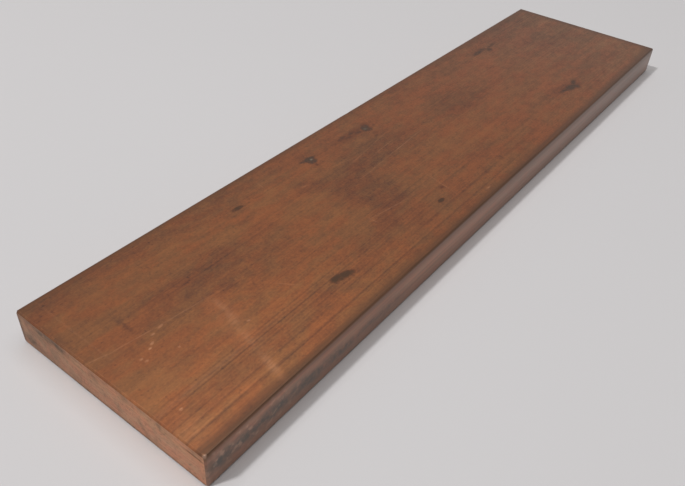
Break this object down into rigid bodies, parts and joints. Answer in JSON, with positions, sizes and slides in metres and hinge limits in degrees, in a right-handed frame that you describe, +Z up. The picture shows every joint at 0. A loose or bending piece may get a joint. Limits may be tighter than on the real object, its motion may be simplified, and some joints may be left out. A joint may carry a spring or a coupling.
{
  "type": "copper flat bar",
  "caption": "Solid copper flat bar with eased long corners and sawn, deburred ends; raw stock to machine, bend, drill or braze, as for a busbar.",
  "frame": {"origin": "middle of the underside, on the surface that the bar lies on", "axes": "+X along the bar towards its far end, +Y across it, +Z up through its thickness"},
  "size_m": [0.3174, 0.0762, 0.0127],
  "materials": {
    "tarnished_copper": null
  },
  "bodies": {
    "root": {"flat_bar": "tarnished_copper"}
  },
  "joints": []
}
